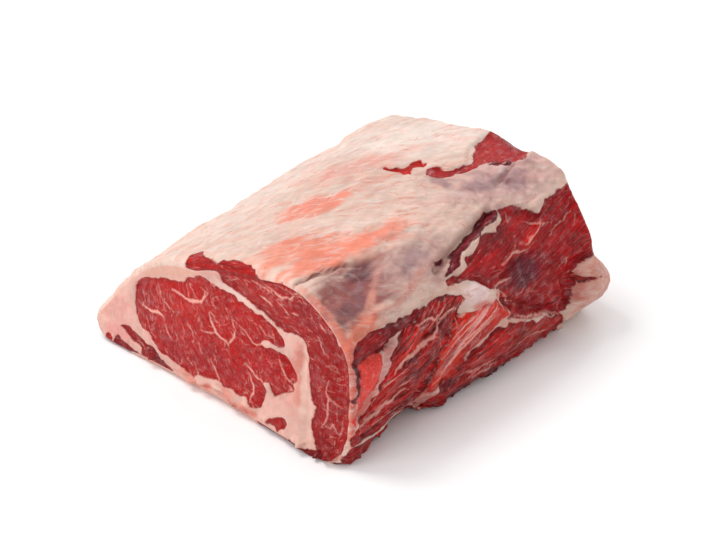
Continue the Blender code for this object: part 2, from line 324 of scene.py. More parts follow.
places, roundAt, wholeRound = placesRound(roastForm)
plainSkin, reliefShare = skinRings(roastForm, places, roundAt, wholeRound)
skinY = plainSkin[:, :, 1]
onRight = roundAt > wholeRound - roastForm["undersideRight"]
skinRound = np.broadcast_to(np.where(onRight, roundAt - wholeRound, roundAt), skinY.shape)
print("skin rings", plainSkin.shape)


# Tools for marking muscles, marbling and tints

# where the random draws start: a number for each face, and what each kind of mark adds to it
seeds = {
    "skin": 11,
    "skinRelief": 31,
    "skinBits": 41,
    "frontCut": 71,
    "backCut": 171,
    "cutRelief": 5,
    "cutBits": 40,
    "chunks": 3,
    "waves": 9,
    "strands": 20,
    "across": 50,
    "flecks": 300,
    "meat": 400,
    "fat": 600,
}


def linear(shade):    # a colour as seen, 0 to 255 each, to the light that a shader takes
    share = np.array(shade, float) / 255
    return np.where(share <= 0.04045, share / 12.92, ((share + 0.055) / 1.055) ** 2.4)


tintEdge = {
    "reach": 1.2,    # in radii
    "softness": 0.75,
    "ragged": 0.3,
    "raggedSize": (14, 4),
    "seedStep": 7,
}


# lays ragged soft patches over a colour: (shade, middle, radii, turn in degrees, strength)
def tinted(colour, p, q, tints, seed):
    colour = np.array(colour)
    for k, (shade, (p0, q0), (radiusP, radiusQ), turn, strength) in enumerate(tints):
        c, s = math.cos(math.radians(turn)), math.sin(math.radians(turn))
        along, across = (p - p0) * c + (q - q0) * s, (q - q0) * c - (p - p0) * s
        wander = layeredNoise(along, across, tintEdge["raggedSize"], seed + tintEdge["seedStep"] * k)
        left = tintEdge["reach"] - np.hypot(along / radiusP, across / radiusQ) + wander * tintEdge["ragged"]
        share = strength * eased(left / tintEdge["softness"])
        colour += share[..., None] * (linear(shade) - colour)
    return colour


# moves places a little, so that borders measured from them are uneven
def raggedPlace(p, q, amount, size, seed):
    acrossSeed = seed + seeds["across"]
    return p + amount * layeredNoise(p, q, size, seed), q + amount * layeredNoise(p, q, size, acrossSeed)


strandForm = {
    "ends": 0.35,    # how wide the ends are, as a share of the middle
    "fullness": 0.6,
    "endMargin": 0.04,
    "waver": 0.7,
    "waverSize": 3.5,
}


# positive inside thin strands: (line, half width); they taper to both ends
def strandDepth(p, q, strands):
    best = np.full(p.shape, farOutside)
    ends, margin = strandForm["ends"], strandForm["endMargin"]
    for line, halfWidth in strands:
        steps = np.hypot(*np.diff(np.array(line, float), axis=0).T)
        length = np.concatenate([[0], np.cumsum(steps)])
        for k, ((p0, q0), (p1, q1)) in enumerate(zip(line, line[1:])):
            dp, dq = p1 - p0, q1 - q0
            share = np.clip(((p - p0) * dp + (q - q0) * dq) / (dp * dp + dq * dq + tiny), 0, 1)
            way = (length[k] + share * (length[k + 1] - length[k])) / length[-1]
            swell = np.sin(math.pi * np.clip(way, margin, 1 - margin)) ** strandForm["fullness"]
            width = halfWidth * (ends + (1 - ends) * swell)
            best = np.maximum(best, width - np.hypot(p - p0 - share * dp, q - q0 - share * dq))
    return best


fleckForm = {
    "tries": 6,    # places drawn for each fleck, as many fall outside the muscle
    "margin": 1,
    "steps": 3,
    "startTurn": 0.4,    # radians off the fibres
    "bend": 0.3,
    "stretch": (0.5, 1.3),
    "thickness": (0.5, 1.2),
}


# seeded short strands along the fibres of a muscle
def shortStrands(count, outline, fibre, length, halfWidth, seed):
    rng = np.random.default_rng(seed)
    low, high = np.min(outline, axis=0), np.max(outline, axis=0)
    p, q = rng.uniform(low[:, None], high[:, None], (2, fleckForm["tries"] * count))
    inside = depthInside(p, q, outline) > fleckForm["margin"]
    strands = []
    for start in list(zip(p[inside], q[inside]))[:count]:
        line = [start]
        turn = fibreTurn(fibre, *start) + rng.normal(0, fleckForm["startTurn"])
        for _ in range(fleckForm["steps"]):
            turn += rng.normal(0, fleckForm["bend"])
            step = length * rng.uniform(*fleckForm["stretch"]) / fleckForm["steps"]
            line.append((line[-1][0] + step * math.cos(turn), line[-1][1] + step * math.sin(turn)))
        strands.append((line, halfWidth * rng.uniform(*fleckForm["thickness"])))
    return strands


def alongLine(p, q, line):    # distance along a line to the nearest place, and off it
    best = np.full(p.shape, np.inf)
    along, off = np.zeros(p.shape), np.zeros(p.shape)
    start = 0
    for (p0, q0), (p1, q1) in zip(line, line[1:]):
        dp, dq = p1 - p0, q1 - q0
        size = math.hypot(dp, dq)
        share = np.clip(((p - p0) * dp + (q - q0) * dq) / size**2, 0, 1)
        distance = np.hypot(p - p0 - share * dp, q - q0 - share * dq)
        near = distance < best
        side = np.sign((q - q0) * dp - (p - p0) * dq)
        best = np.where(near, distance, best)
        along = np.where(near, start + share * size, along)
        off = np.where(near, side * distance, off)
        start += size
    return along, off


# (along, across) for fibres in one direction, out from a pivot, or along a line
def fibreCoordinates(p, q, fibre):
    if "turn" in fibre:
        c, s = math.cos(math.radians(fibre["turn"])), math.sin(math.radians(fibre["turn"]))
        return p * c + q * s, q * c - p * s
    if "pivot" in fibre:
        p0, q0 = fibre["pivot"]
        return np.hypot(p - p0, q - q0), np.arctan2(q - q0, p - p0) * fibre["spread"]
    return alongLine(p, q, fibre["line"])


def fibreTurn(fibre, p, q):
    if "pivot" in fibre:
        return math.atan2(q - fibre["pivot"][1], p - fibre["pivot"][0])
    return math.radians(fibre.get("turn", 0))


def markings(features, p, q, seed):    # what each place of a skin or cut is made of
    raggedP, raggedQ = raggedPlace(p, q, features["ragged"], features["raggedSize"], seed)
    depth = np.full(p.shape, farOutside)
    meat = np.zeros(p.shape + (3,))
    fibres = np.stack([p, q], axis=-1)
    contrast = np.ones(p.shape)
    strands = list(features["strands"])
    for k, (shade, fibre, corners) in enumerate(features["muscles"].values()):
        outline = roundedOutline(corners)
        inside = depthInside(raggedP, raggedQ, outline)
        nearer = inside > depth
        depth = np.where(nearer, inside, depth)
        meat[nearer] = linear(shade)
        along, across = fibreCoordinates(p, q, fibre)
        fibres[nearer] = np.stack([along, across], axis=-1)[nearer]
        contrast[nearer] = fibre.get("contrast", 1)
        if "flecks" in fibre:
            fleckSeed = seed + seeds["flecks"] + k
            strands += shortStrands(fibre["flecks"], outline, fibre, *features["fleckSize"], fleckSeed)
    fat = np.broadcast_to(linear(features["fatShade"]), meat.shape)
    fatTints = features["fatTints"] + features["silverskin"] + features["overSilverskin"]
    silverPatches = [((255, 255, 255),) + patch[1:] for patch in features["silverskin"]]
    waver, waverSize = strandForm["waver"], strandForm["waverSize"]
    wavyP, wavyQ = raggedPlace(p, q, waver, waverSize, seed + seeds["strands"])
    return {
        "meatDepth": depth,
        "strandDepth": strandDepth(wavyP, wavyQ, strands),
        "meatShade": tinted(meat, p, q, features["muscleTints"], seed + seeds["meat"]),
        "fatShade": tinted(fat, p, q, fatTints, seed + seeds["fat"]),
        "silverShare": tinted(np.zeros(meat.shape), p, q, silverPatches, seed)[..., 0],
        "fibrePlace": fibres * (1 / features["grainStretch"], 1),
        "fibreContrast": contrast * features["fibreContrast"],
        "streakShare": np.full(p.shape, features["fatStreaks"], float),
    }


# The cuts: the eye of meat in its fat, and the cap muscle that wraps over the crown and down the right
# side. The places are those of the front cut, and the back cut has the same muscles with its own grain.

cutFace = {
    "furrows": (
        ((
            (-64, 52), (-50, 60), (-30, 66), (-14, 76), (0, 78), (20, 75), (44, 71), (55, 67), (57, 58),
        ), 3, 1.3),
        (((60, 53), (66, 46), (65, 36), (56, 28), (46, 24), (38, 8)), 3, 1.6),
        (((30, 5), (10, 7), (-20, 3), (-44, 8), (-60, 18), (-69, 34), (-66, 50)), 3, 1.3),
        (((-18, 81), (0, 86), (22, 79), (44, 72), (72, 71), (75, 50), (77, 28), (78, 6)), 3, 1.3),
        (((102, 76), (105, 50), (103, 22), (99, 8)), 3, 1),
    ),
    "lumps": (
        ((-8, 40), (44, 24), 2.5),
        ((50, 43), (12, 10), 1.5),
        ((50, 90), (30, 9), 1.5),
        ((91, 42), (9, 30), 2),
        # ragged bits of fat along the bottom of the cut
        ((-8, 8), (6, 4), 1.5),
        ((5, 10), (4, 4), 2),
        ((17, 7), (6, 4), 2.5),
        ((31, 7), (4, 6), 2),
        ((44, 5), (6, 3), 1.5),
    ),
    # ragged bits along the bottom: how far out, their size, how high they reach, and how soon they rise
    "footBits": {"rise": 6, "size": (7, 4), "reach": 1.3, "fade": 9, "rimEase": 2},
    "muscles": {    # shade, fibres, outline
        "eye": ((184, 48, 47), {"pivot": (-70, 130), "spread": 110, "flecks": 230}, (
            (-68, 40), (-68, 34), (-65, 27), (-60, 22), (-54, 21.5), (-49, 18), (-43, 13), (-36, 12),
            (-30, 11.5), (-22, 10), (-14, 8.5), (-10, 12), (-5, 12), (1, 14), (6, 15.5), (11, 13),
            (17, 15), (24, 13), (30, 15), (33, 10), (38, 11), (42, 15), (44, 21), (45, 27), (44, 31),
            (47, 33), (49, 33), (49, 28), (51, 24), (54, 27), (58, 30), (63, 32.5), (66, 35), (65, 39),
            (67.5, 42), (68.5, 45), (66, 49), (63, 53), (57, 55.5), (50, 56), (44, 54.5), (40, 55),
            (42, 58), (48, 59), (54, 58.5), (57, 60), (56, 64), (53, 67.3), (46, 69), (36, 71.3),
            (24, 73.2), (10, 75), (-4, 75.8), (-12, 76.5), (-18, 73), (-26, 68), (-36, 64), (-46, 61),
            (-56, 57.5), (-63, 54), (-67, 48),
        )),
        "cap": ((168, 38, 38), {
            "line": ((-18, 86), (10, 90), (40, 89), (68, 87), (86, 76), (92, 58), (93, 30), (92, 2)),
            "flecks": 150,
        }, (
            (-20, 83), (-19, 87), (-14, 93), (-8, 94), (0, 96), (10, 98), (18, 101), (26, 103), (31, 101),
            (33, 98), (38, 99), (42, 103), (55, 105), (65, 104), (75, 99), (82, 95), (90, 91), (96, 87),
            (98, 80), (103, 79), (107, 72), (109, 60), (108.3, 45), (107.2, 30), (106, 18), (102, 9),
            (98, 4), (92, 1), (88, 3), (86, 5), (84, 9), (82, 14), (80, 20), (81, 25), (83, 30), (85, 34),
            (83, 34), (80, 37), (78, 42), (78, 48), (77, 55), (77, 62), (74, 67), (72, 70), (70, 72),
            (62, 71), (56, 70), (50, 69.7), (44, 71), (38, 72.8), (30, 74.8), (24, 76), (20, 76.8),
            (14, 78), (8, 79), (4, 81), (3, 86), (-4, 87), (-10, 84), (-16, 81),
        )),
        "patchUnderEye": ((172, 44, 42), {"turn": 30}, (
            (47, 8), (52, 12), (58, 15), (62, 15), (63, 11), (59, 7), (57, 4.5), (54, 6.5),
        )),
        "footOfWedge": ((122, 22, 24), {"turn": 0}, (
            (64, 3), (70, 6), (75, 5.5), (80, 4.5), (87, 5), (92, 2), (90, -2), (76, -2), (66, 0),
        )),
        "stripUnderLip": ((158, 36, 38), {"turn": -20}, (
            (-78, 16), (-76, 18), (-73, 18), (-68, 17), (-64, 16), (-60, 14.5), (-54, 13), (-50, 12),
            (-46, 9), (-38, 6), (-31, 4), (-38, 1), (-54, 2), (-60, 5), (-58, 8), (-64, 10), (-70, 11),
            (-74, 14),
        )),
        "edgeUnderLip": ((134, 30, 32), {"turn": 0}, (
            (-84, 3), (-80, 8), (-76, 7), (-70, 6), (-62, 4), (-50, 3), (-50, -1), (-70, -1), (-82, 0),
        )),
        "spotAtLip": ((186, 44, 40), {"turn": 0}, (
            (-91, 2), (-89.5, 6), (-87, 7), (-85, 5), (-85, 2), (-88, 0),
        )),
    },
    "muscleTints": (    # shade, middle, radii, turn, strength
        ((176, 70, 68), (-40, 42), (24, 16), 30, 0.4),
        ((160, 42, 46), (-58, 42), (12, 16), 60, 0.55),
        ((196, 70, 66), (-12, 56), (26, 10), 10, 0.4),
        ((162, 42, 48), (-30, 22), (26, 10), -15, 0.5),
        ((158, 42, 48), (6, 26), (24, 12), 0, 0.45),
        ((160, 44, 48), (48, 44), (16, 9), -20, 0.4),
        ((150, 34, 38), (78, 86), (24, 8), -30, 0.4),
        ((146, 26, 30), (82, 38), (5, 26), 0, 0.55),
        ((176, 30, 32), (102, 46), (3, 30), 0, 0.6),
        ((188, 60, 54), (30, 86), (24, 4), 0, 0.4),
        ((196, 44, 36), (4, 92), (22, 5), 10, 0.6),
        ((120, 18, 20), (-46, 7), (12, 4), -25, 0.85),
        ((132, 24, 26), (90, 10), (7, 8), 0, 0.6),
    ),
    "strands": (
        (((28, 37.5), (33, 35), (38, 33), (44, 30.5)), 0.88),
        (((31, 33), (33, 30), (35, 26), (35.5, 21), (34, 17), (33, 13)), 0.96),
        (((42, 57), (39, 54), (36, 52), (33, 53), (29, 56), (25, 58), (22, 59)), 0.72),
        (((-34, 59), (-28, 59), (-22, 58), (-15, 59), (-10, 61), (-8, 64), (-6, 67), (-5, 69)), 1.04),
        (((-12, 61), (-16, 63), (-19, 66), (-22, 68)), 0.56),
        (((-24, 68), (-22, 65), (-20, 62)), 0.4),
        (((-8, 65), (-7, 71)), 0.56),
        (((-2, 58), (0, 53), (2, 50), (5, 47), (9, 46), (13, 45), (15, 43)), 0.96),
        (((5, 48), (0, 46), (-5, 44.5), (-9, 44)), 0.64),
        (((14, 44), (17, 48), (19, 50), (18, 54)), 0.96),
        (((15, 62), (16.5, 58), (19, 55)), 0.64),
        (((-60, 37.5), (-52, 38), (-46, 39), (-40, 39), (-39, 37)), 1.12),
        (((-43, 50.5), (-38, 48.5), (-32, 46)), 0.64),
        (((-19, 44), (-16, 41), (-14, 37)), 0.64),
        (((-39, 34), (-36, 30), (-32, 26)), 0.72),
        (((1, 28), (4, 24), (6, 20), (7, 16), (8, 12)), 0.72),
        (((-11, 15), (-10, 11), (-8, 9)), 0.64),
        (((-54, 26), (-51, 23), (-47, 21)), 0.4),
        (((-1, 58), (2, 57), (4, 58)), 0.4),
        (((54, 54), (56, 50), (58, 47), (60, 44), (63, 41), (66, 38)), 0.64),
        (((45, 48.5), (48, 47.5), (51, 45)), 0.48),
        (((44, 64), (47, 62), (50, 61.5)), 0.48),
        (((46, 67), (49, 64), (50, 60)), 0.48),
        (((33, 66), (36, 65)), 0.48),
        (((62, 38), (64, 35), (62, 33)), 0.72),
        (((38, 93), (46, 92.5), (54, 91.5), (61, 93), (66, 97)), 0.8),
        (((28, 91.5), (38, 90.5), (46, 91)), 0.64),
        (((36, 84.5), (40, 84), (47, 82.5)), 0.8),
        (((50, 88), (54, 86), (60, 83)), 0.72),
        (((12, 83), (17, 87), (20, 88)), 0.56),
        (((62, 85), (66, 86), (68, 85)), 0.64),
        (((83, 88), (86, 85), (89, 82)), 0.64),
        (((82, 78), (85, 75), (87, 71), (91, 69)), 0.72),
        (((92, 54), (91, 47), (93, 41), (92, 35), (92, 29), (90, 25), (88, 21)), 0.72),
        (((91, 24), (94, 23.5), (96, 26), (98, 22), (101, 19)), 0.64),
        (((98, 40), (98, 33), (99, 28)), 0.32),
        (((56, 99), (62, 96), (66, 99), (72, 95), (76, 96)), 0.48),
        (((40, 96), (50, 97), (58, 96)), 0.48),
        (((99, 17), (101, 23), (102, 30)), 0.4),
        (((-64, 12), (-60, 11), (-56, 9)), 0.56),
    ),
    "ragged": 0.8,
    "raggedSize": 5,
    "fleckSize": (6, 0.32),    # length, half width
    "grainStretch": 2.6,
    "fibreContrast": 0.34,
    "fatStreaks": 0.35,
    "silverskin": (),
    "overSilverskin": (),
    "fatShade": (232, 182, 168),
    "fatTints": (
        ((226, 158, 148), (-82, 24), (18, 14), 40, 0.75),
        ((226, 172, 152), (-36, 71), (24, 5), 22, 0.8),
        ((222, 158, 146), (-4, 82), (20, 4), 5, 0.7),
        ((222, 140, 124), (70, 50), (7, 24), 0, 0.9),
        ((248, 208, 192), (74, 44), (3, 24), 0, 0.75),
        ((236, 150, 138), (67, 56), (1.2, 14), -8, 0.7),
        ((240, 188, 176), (64, 66), (7, 5), 0, 0.6),
        ((240, 206, 194), (28, 76), (34, 3), -6, 0.8),
        ((232, 164, 150), (62, 30), (9, 9), 30, 0.7),
        ((234, 190, 174), (78, 14), (5, 12), 0, 0.8),
        ((226, 128, 108), (14, 9), (12, 5), 0, 0.75),
        ((204, 82, 68), (-3, 8), (5, 2), 20, 0.8),
        ((250, 214, 196), (7, 11), (5, 2), -20, 0.8),
        ((204, 84, 70), (20, 5), (6, 1.6), 0, 0.75),
        ((250, 212, 194), (27, 9), (4, 2.4), 40, 0.8),
        ((222, 120, 102), (30, 6), (8, 5), 0, 0.75),
        ((228, 140, 122), (-14, 6), (14, 3), -10, 0.7),
        ((236, 170, 164), (-46, 16), (16, 4), -25, 0.7),
        ((230, 150, 144), (-78, 8), (16, 7), -10, 0.7),
        ((224, 128, 112), (100, 8), (5, 8), 0, 0.7),
        ((228, 134, 116), (109, 48), (2.4, 36), 0, 0.8),
        ((232, 168, 150), (-62, 58), (10, 3), 35, 0.5),
    ),
}


# The skin's muscles, sinews and tints, in (y, round)

skin = {
    "muscles": {    # shade, fibres, outline
        # the cap muscle, seen over the crown's rounded edge
        "frontSliver": ((172, 36, 34), {"turn": 90, "contrast": 0.4}, (
            (-131, 219), (-109, 219), (-111, 214), (-115, 210), (-117, 200), (-117, 190), (-116.5, 182),
            (-118, 172), (-120, 164), (-121.5, 154), (-121.5, 140), (-131, 140),
        )),
        # a strip of meat painted dark for the shade in the gap at the strap's front edge
        "edgeGapPaintedShade": ((92, 14, 24), {"turn": 90}, (
            (-121, 71), (-118.3, 68), (-117.5, 60), (-118.2, 52), (-119.6, 45), (-121.6, 44),
            (-121.6, 52), (-121.2, 62),
        )),
        "darkStrap": ((150, 40, 44), {"turn": 4, "contrast": 0.7}, (
            (-119.5, 67), (-120, 76), (-110, 82), (-98, 82), (-88, 81), (-77, 79), (-66, 78.5), (-56, 79),
            (-62, 76), (-74, 74), (-80, 73), (-84, 75), (-87, 72), (-90, 68.5), (-98, 67.5), (-106, 67.5),
        )),
        "brightStrap": ((250, 128, 124), {"turn": 80, "contrast": 0.15}, (
            (-117.5, 67), (-102, 67.5), (-99.5, 59), (-101, 54), (-103, 48), (-109, 42), (-117, 35),
            (-121.6, 28), (-122.6, 33), (-121, 40), (-119, 47), (-117.8, 54), (-117.4, 62),
        )),
        "fanMuscle": ((180, 26, 27), {"pivot": (-165, 18), "spread": 80, "contrast": 0.9, "flecks": 30}, (
            (-115.5, 31.5), (-105.5, 41), (-99.5, 49.5), (-93.5, 58), (-89, 65.5), (-84, 70), (-78, 73),
            (-69, 74.5), (-60, 77), (-51, 79), (-43, 79.5), (-35, 77), (-28.5, 73), (-27, 68),
            (-31, 67.5), (-32, 64), (-30, 61), (-35, 58), (-40, 54), (-44, 47.5), (-48, 41.7), (-51, 35),
            (-56, 28), (-60, 22.5), (-68, 18), (-85, 14), (-100, 13), (-112, 15), (-123.2, 17),
            (-123, 24),
        )),
        "footMuscle": ((168, 36, 40), {"turn": 6, "contrast": 0.8}, (
            (-123.4, 14), (-112, 13), (-100, 10.5), (-85, 11.5), (-72, 15), (-63, 15), (-60, 6),
            (-62, -14), (-123.4, -14),
        )),
        "middleMuscle": ((232, 98, 92), {"turn": 24, "contrast": 0.42, "flecks": 50}, (
            (-60, 21), (-52, 33), (-45, 46), (-37, 56.5), (-30, 61), (-18, 61), (-8, 59), (2, 58),
            (5, 52), (12, 45), (12, 41), (-5, 36.5), (-20, 31.5), (-30, 26), (-48, 19),
        )),
        "backMuscle": ((168, 32, 36), {"turn": 14, "contrast": 0.6, "flecks": 30}, (
            (-34, 85), (-23, 85), (-13, 86), (-13, 91), (-5, 90), (3, 95), (8, 99), (13, 98), (20, 95),
            (22, 97.5), (30, 100), (31, 107.5), (38, 103), (47, 98), (55, 92), (58, 89), (63, 93),
            (72, 94), (86, 95), (106, 96), (106, 54), (90, 52), (88, 52), (75, 50), (70, 47), (68, 38),
            (67, 28), (64, 20), (52, 25), (45, 28), (30, 32), (22, 35), (13, 37), (14, 44), (10, 48),
            (6, 55), (7, 61), (-2, 66), (-7, 68), (-12, 75), (-20, 79), (-35, 81),
        )),
        "lowerMuscle": ((182, 34, 34), {"turn": 10, "contrast": 0.75, "flecks": 34}, (
            (-50, 16.5), (-39, 22.5), (-31, 26.5), (-22, 28.5), (-12, 32.5), (5, 37), (12, 35),
            (30, 30.5), (50, 25), (62, 18), (66, 4), (66, -14), (-52, -14), (-56, 5),
        )),
        "pocket": ((116, 46, 54), {"turn": 10}, (
            (-34, 88), (-30, 91), (-24, 94), (-12, 100), (3, 103.5), (10, 105.5), (25, 108.5), (29, 104),
            (20, 101), (12, 101), (5, 98.5), (-2, 98), (-8, 94.5), (-15, 94), (-21, 89.5), (-30, 87.5),
        )),
        "pocketStart": ((120, 56, 70), {"turn": 10}, (
            (-38, 96.5), (-30, 97.2), (-24, 96.5), (-26, 95), (-34, 95),
        )),
        "crownPatch": ((176, 44, 46), {"turn": 20, "contrast": 0.35}, (
            (19, 153), (21, 156), (27, 158), (29, 156), (32, 152), (35, 147.5), (45, 146), (50, 148.5),
            (57, 152), (62, 157), (70, 162), (78, 165.5), (86, 168), (104, 164), (104, 138), (92, 136),
            (88, 131), (84, 129), (80, 127), (72, 130), (57, 141), (42, 140.5), (33, 144), (28, 145),
            (20, 150),
        )),
        "crownStrip": ((200, 66, 62), {"turn": -25, "contrast": 0.4}, (
            (6, 179), (10, 175), (15, 171), (20, 169.5), (29, 168), (29, 163), (22, 166), (15, 165),
            (11, 160),
        )),
        "crownSpot1": ((150, 40, 46), {"turn": 0}, (
            (56, 137), (60, 137.5), (65, 136), (65, 133), (58, 133),
        )),
        "crownSpot2": ((150, 44, 50), {"turn": 0}, (
            (60, 131.5), (66, 132), (72, 130.5), (70, 129), (62, 129),
        )),
        "knobVein": ((176, 70, 66), {"turn": 0}, (
            (68, 47), (76, 43), (84, 42), (90, 44), (84, 40.5), (76, 40), (68, 42),
        )),
        "underside": ((150, 38, 42), {"turn": 88}, (
            (-131, 340), (-104, 335), (-84, 342), (-52, 337), (-30, 344), (4, 338), (28, 343), (58, 336),
            (84, 342), (112, 338), (112, 540), (-131, 540), (-131, 516), (-122, 502), (-119, 474),
            (-121.5, 442), (-118.5, 412), (-121, 386), (-131, 374),
        )),
        "undersideRight": ((146, 36, 40), {"turn": 88}, (
            (-131, -100), (112, -100), (112, -8), (66, -14), (-60, -12), (-131, -10),
        )),
    },
    "muscleTints": (    # shade, middle, radii, turn, strength
        ((88, 24, 44), (32, 61), (18, 11), 0, 0.85),
        ((206, 66, 60), (27, 76), (20, 3), 2, 0.8),
        ((200, 60, 56), (46, 81.5), (13, 3), 15, 0.7),
        ((190, 40, 42), (80, 76), (14, 22), 0, 0.5),
        ((186, 38, 42), (0, 84), (16, 7), 10, 0.6),
        ((100, 14, 24), (14, 92), (16, 4), 20, 0.6),
        # painted shade: meat darker along the foot of the right side, near the floor
        ((96, 16, 26), (-10, 3), (40, 7), 0, 0.8),
        ((84, 14, 26), (-38, 17), (12, 4), 0, 0.8),
        ((176, 60, 52), (34, 22), (24, 5), -8, 0.7),
        ((222, 66, 58), (-70, 62), (20, 7), 14, 0.7),
        ((212, 66, 60), (-98, 36), (14, 5), 25, 0.6),
        ((132, 24, 30), (-84, 22), (30, 6), 3, 0.7),
        ((140, 26, 32), (-66, 42), (22, 6), 14, 0.7),
        ((120, 18, 28), (-78, 53), (12, 3), 14, 0.8),
        ((110, 18, 28), (-46, 62), (10, 6), 0, 0.6),
        ((206, 54, 50), (-104, 4), (14, 6), 0, 0.6),
        ((238, 168, 162), (-26, 49), (22, 4), 24, 0.75),
        ((238, 168, 162), (-42, 36), (16, 3), 34, 0.7),
        ((246, 196, 190), (-16, 53), (15, 2.6), 22, 0.75),
        ((212, 54, 48), (-34, 45), (14, 2.4), 28, 0.75),
        ((244, 190, 184), (-36, 41), (15, 2), 30, 0.7),
        ((226, 130, 122), (-16, 42), (18, 2), 20, 0.6),
        ((224, 50, 42), (-8, 51), (16, 2.6), 22, 0.85),
        ((150, 36, 40), (-18, 39), (20, 4), 14, 0.6),
        ((150, 40, 44), (-42, 36), (10, 5), 40, 0.6),
        ((226, 140, 128), (-44, 26), (14, 3), 20, 0.7),
        ((206, 56, 46), (60, 148), (18, 5), 20, 0.5),
        ((130, 22, 30), (88, 150), (6, 14), 0, 0.6),
        ((110, 18, 28), (70, 34), (6, 12), 0, 0.6),
    ),
    "strands": (
        ((
            (-91, 50), (-85, 52.5), (-78, 54.5), (-70, 56.5), (-62, 57.5), (-56, 59), (-52, 62), (-50.5, 66),
        ), 1.2),
        (((-70, 71.5), (-62, 71.5), (-55, 69.5), (-51, 67), (-47, 69), (-44, 72), (-42, 74)), 0.9),
        (((-73, 66.5), (-67, 68), (-58, 67.5)), 0.6),
        (((-50, 64), (-45, 67), (-38, 68), (-32, 67)), 0.8),
        (((-100, 42), (-93, 45.5), (-86, 48), (-80, 50)), 0.7),
        (((-98, 44), (-90, 47)), 0.5),
        (((-86, 38), (-80, 37.5), (-74, 38)), 0.8),
        (((-118, 26), (-108, 27.5), (-97, 30), (-88, 31.5), (-80, 32.5), (-76, 32)), 1.1),
        (((-57, 59), (-52, 56), (-50, 52), (-47, 46)), 0.6),
        (((-117, 21.5), (-104, 24), (-92, 24.5)), 0.8),
        (((-33, 60), (-27, 63), (-27, 70)), 1.3),
        (((-72, 19), (-66, 12), (-60, 5)), 1.3),
        (((12, 75), (22, 77), (27, 77.5), (32, 75), (38, 74), (47, 75)), 0.9),
        (((35, 78), (42, 79), (52, 82), (57, 87)), 0.9),
        (((7, 60), (11, 55), (14, 52), (15, 48), (20, 45)), 0.9),
        (((3, 62), (8, 64), (20, 63.5)), 0.9),
        (((60, 74), (70, 77), (84, 80)), 0.6),
        (((42, 92), (50, 87), (58, 83), (66, 80)), 0.7),
        (((-56, 24), (-44, 32), (-30, 40), (-14, 46), (4, 50)), 0.9),
        (((-48, 39), (-36, 47), (-24, 52), (-10, 55)), 0.8),
        (((-40, 50), (-30, 55), (-18, 57)), 1),
        (((-50, 29), (-36, 38), (-18, 44), (2, 47)), 1),
        (((-38, 39), (-24, 45), (-8, 49), (4, 53)), 1),
        (((14, 38), (30, 33), (46, 28), (60, 22)), 0.8),
        (((20, 20), (38, 18), (56, 12)), 0.8),
        (((-25, 13), (-10, 11.5), (5, 12)), 0.7),
        (((-36, 19), (-22, 16), (-8, 14), (4, 14)), 0.8),
        # bands of membrane along the underside
        (((-88, 356), (-90, 420), (-86, 540)), 7),
        (((-54, 352), (-46, 420), (-52, 540)), 6),
        (((-6, 358), (-14, 420), (-8, 540)), 7),
        (((34, 353), (24, 420), (32, 540)), 5),
        (((70, 357), (74, 420), (73, 540)), 7),
        (((-86, -70), (-88, -8)), 6),
        (((-52, -70), (-50, -8)), 6),
        (((-8, -70), (-10, -8)), 6),
        (((32, -70), (30, -8)), 6),
        (((73, -70), (72, -8)), 6),
    ),
    "ragged": 1.5,
    "raggedSize": (9, 5),
    "fleckSize": (9, 0.4),
    "grainStretch": 14,
    "fibreContrast": 1.1,
    "fatStreaks": 1,
    "silverskin": (
        ((154, 80, 76), (-97, 107), (39, 20), -4, 0.95),
        ((104, 62, 74), (-79, 115), (13, 8), -12, 0.85),
        ((120, 72, 78), (-104, 99), (18, 7), 12, 0.8),
        ((150, 126, 138), (-88, 108), (7, 3), 30, 0.4),
        ((200, 158, 150), (-46, 102), (32, 17), 0, 0.85),
        ((158, 124, 130), (-48, 105), (14, 6), 20, 0.6),
        ((214, 170, 164), (50, 122), (50, 24), -8, 0.9),
        ((162, 126, 130), (34, 125), (14, 8), 0, 0.75),
        ((164, 124, 128), (58, 118), (12, 9), 0, 0.75),
        ((160, 126, 130), (17, 142), (5, 9), 0, 0.7),
    ),
    "overSilverskin": (
        ((234, 158, 138), (-90, 97), (26, 2.8), 34, 0.75),
        ((238, 142, 118), (-107, 84), (12, 7), 20, 0.8),
        ((236, 140, 118), (-121, 104), (3.6, 24), 0, 0.85),
        ((226, 160, 146), (-62, 92), (24, 3), 16, 0.7),
        # painted shade in the groove and painted highlight on the ridge of a fold towards the back, and
        # painted shade in the crease over the hollow
        ((150, 92, 94), (57, 123), (14, 1), 18, 0.65),
        ((244, 216, 210), (57, 128), (13, 1.8), 18, 0.6),
        ((112, 48, 44), (-111, 130.6), (13, 0.9), -6, 0.95),
        ((120, 56, 52), (-91, 126.6), (12, 0.8), -9, 0.9),
    ),
    "fatShade": (234, 198, 182),
    "fatTints": (
        ((222, 192, 177), (-20, 200), (150, 64), 0, 0.9),
        ((229, 205, 192), (0, 240), (150, 30), 0, 0.8),
        ((222, 166, 152), (-40, 296), (90, 30), 0, 0.6),
        ((206, 132, 120), (30, 286), (60, 12), 4, 0.5),
        ((212, 140, 128), (-80, 300), (36, 10), -5, 0.5),
        ((226, 190, 182), (60, 310), (40, 14), 0, 0.5),
        ((246, 136, 108), (-84, 136), (54, 13.5), -8, 0.9),
        ((240, 136, 108), (-94, 160), (30, 16), -24, 0.85),
        ((236, 134, 110), (-50, 182), (26, 12), -24, 0.85),
        ((250, 232, 222), (62, 192), (46, 30), -10, 0.7),
        ((230, 154, 140), (2, 192), (40, 14), -20, 0.65),
        ((240, 124, 92), (-106, 85), (18, 9), 12, 0.95),
        ((226, 108, 90), (-122, 50), (4, 60), 0, 0.9),
        ((196, 84, 74), (-122.2, 44), (1.2, 34), 0, 0.8),
        ((255, 224, 222), (-14, 71), (14, 7), 0, 0.9),
        ((214, 110, 100), (-12, 61), (16, 3), -14, 0.85),
        ((222, 146, 140), (-98, 56), (20, 8), 58, 0.85),
